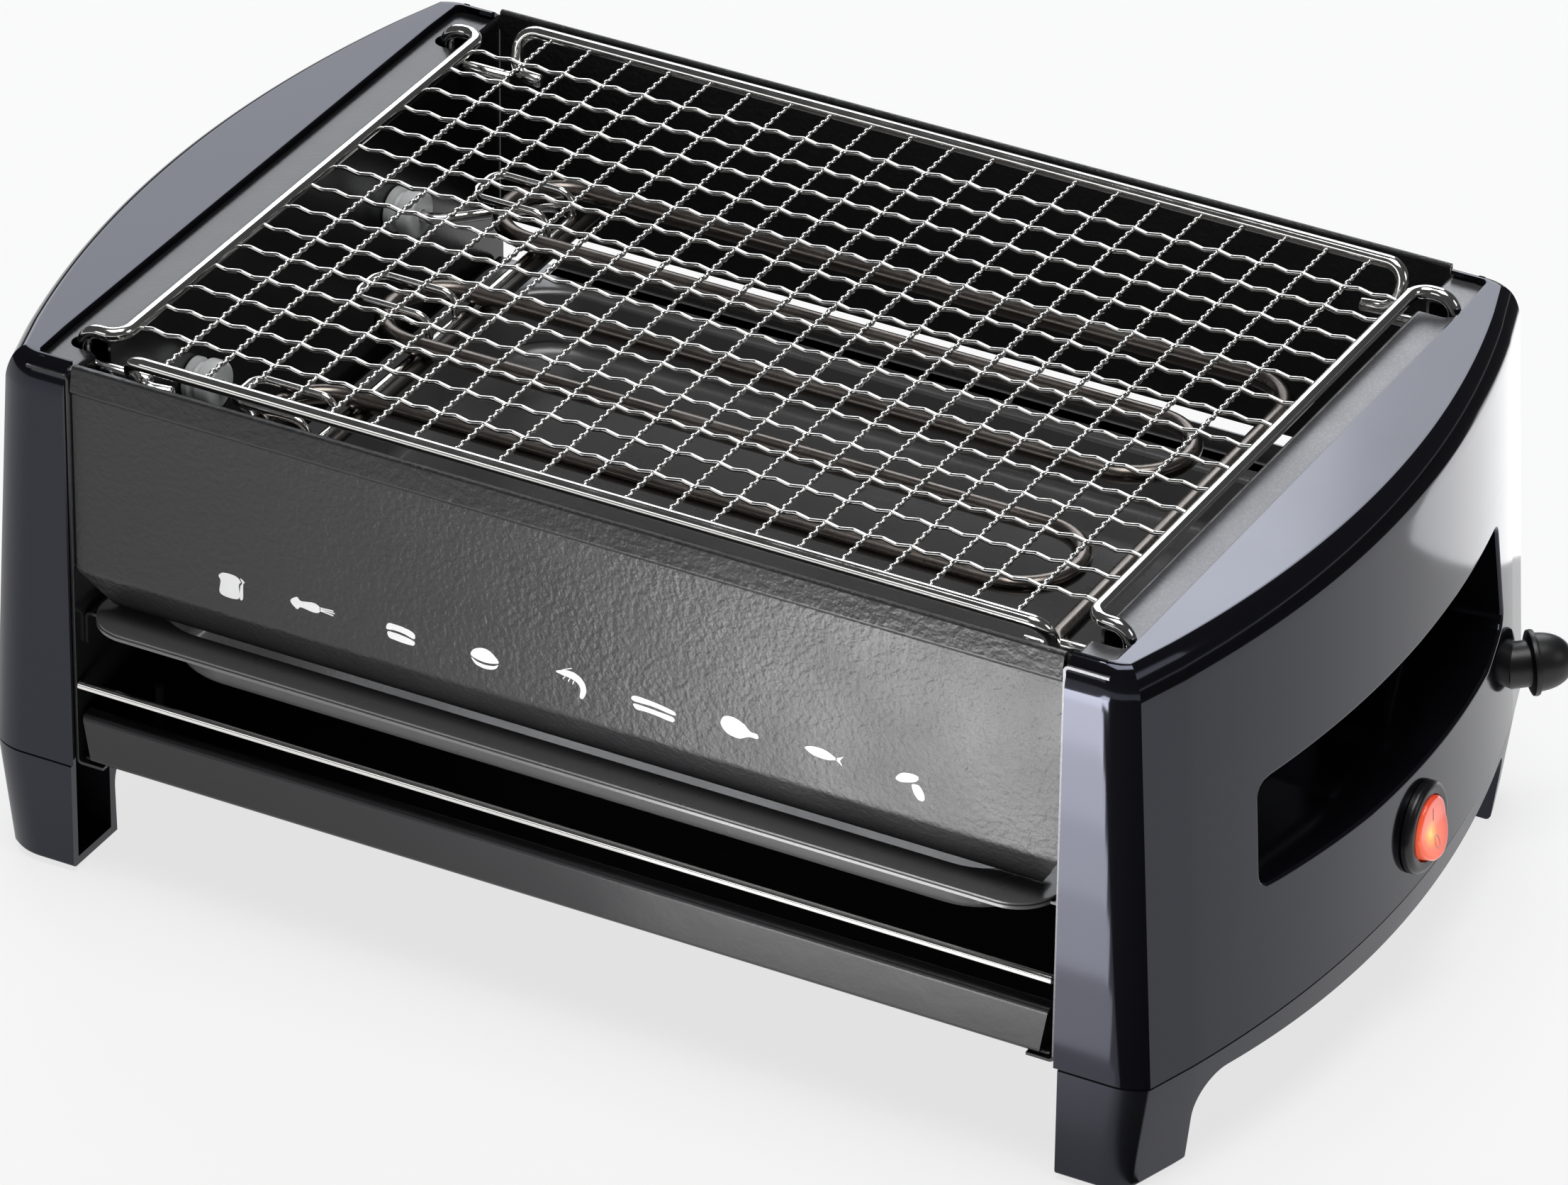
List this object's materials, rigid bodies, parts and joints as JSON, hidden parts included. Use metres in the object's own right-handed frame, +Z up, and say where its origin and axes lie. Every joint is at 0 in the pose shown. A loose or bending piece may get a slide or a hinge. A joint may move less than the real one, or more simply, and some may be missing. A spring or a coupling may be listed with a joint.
{
  "type": "electric table grill",
  "caption": "Electric table grill: a lift-off wire net over a serpentine tube heater, a slide-out drip tray, and bowed side housings with hand-holds and legs.",
  "frame": {"origin": "centre of the outline, on the table under the foot pads", "axes": "+X along the long side towards the switch, -Y towards the front, +Z up"},
  "size_m": [0.4654, 0.28, 0.1929],
  "materials": {
    "gloss_cover": "moulded, high gloss blue-black",
    "satin_leg": "moulded, satin black",
    "body_enamel": "orange-peel black enamel on sheet steel",
    "plate_steel": "satin sheet steel",
    "tray_coat": "non-stick dark grey coat on sheet steel",
    "chrome_wire": "bright plated wire",
    "heater_steel": "dark bronze heat-tinted sheath",
    "dark_rod": "heat-darkened steel rod",
    "ceramic": "grey glazed ceramic",
    "rubber": "matt black rubber",
    "switch_black": "satin black",
    "rocker_lens": "translucent red lens, lit from inside",
    "brass": "bare",
    "zinc": "zinc plated",
    "nylon": "natural nylon",
    "lead_brown": "insulation",
    "lead_blue": "insulation"
  },
  "bodies": {
    "housing": {"right_side_cover": "gloss_cover", "left_side_cover": "gloss_cover", "right_bottom_cover": "satin_leg", "left_bottom_cover": "satin_leg", "front_panel": "body_enamel", "rear_panel": "body_enamel", "base_pan": "body_enamel", "right_side_plate": "plate_steel", "left_side_plate": "plate_steel", "right_tray_runner": "plate_steel", "left_tray_runner": "plate_steel", "front_tie_rod": "chrome_wire", "rear_tie_rod": "chrome_wire", "heater_support_bail": "chrome_wire", "heater_clip_1": "chrome_wire", "heater_clip_2": "chrome_wire", "heater_clip_3": "chrome_wire", "heater_element": "heater_steel", "heater_support_stiffener": "dark_rod", "front_ceramic_bush": "ceramic", "rear_ceramic_bush": "ceramic", "front_right_foot_pad": "rubber", "front_left_foot_pad": "rubber", "rear_right_foot_pad": "rubber", "rear_left_foot_pad": "rubber", "cord_inlet": "rubber", "switch_bezel": "switch_black", "switch_body": "switch_black", "switch_spade_1": "brass", "switch_spade_2": "brass", "front_heater_collar": "zinc", "rear_heater_collar": "zinc", "front_heater_terminal": "zinc", "rear_heater_terminal": "zinc", "thermal_fuse": "zinc", "front_right_cover_screw": "zinc", "front_left_cover_screw": "zinc", "rear_right_cover_screw": "zinc", "rear_left_cover_screw": "zinc", "front_right_pan_screw": "zinc", "front_left_pan_screw": "zinc", "rear_right_pan_screw": "zinc", "rear_left_pan_screw": "zinc", "terminal_block": "nylon", "live_lead": "lead_brown", "switched_lead": "lead_brown", "fused_lead": "lead_brown", "mains_lead_2": "lead_brown", "neutral_lead": "lead_blue", "mains_lead_1": "lead_blue"},
    "grill_net": {"net_mesh": "chrome_wire", "net_ring": "chrome_wire", "right_net_side_bar": "chrome_wire", "left_net_side_bar": "chrome_wire"},
    "drip_tray": {"drip_tray": "tray_coat"},
    "switch_rocker": {"switch_rocker": "rocker_lens"}
  },
  "joints": [
    {"name": "net_lift", "type": "slide", "parent": "housing", "child": "grill_net", "axis": [0, 0, 1], "range_m": [0, 0.12]},
    {"name": "tray_slide", "type": "slide", "parent": "housing", "child": "drip_tray", "axis": [0, -1, 0], "range_m": [0, 0.23]},
    {"name": "rocker_tilt", "type": "hinge", "parent": "housing", "child": "switch_rocker", "pos_m": [0.22634, 0.01324, 0.06106], "axis": [-0.0283, 0.9996, 0], "range_deg": [0, 16]}
  ]
}
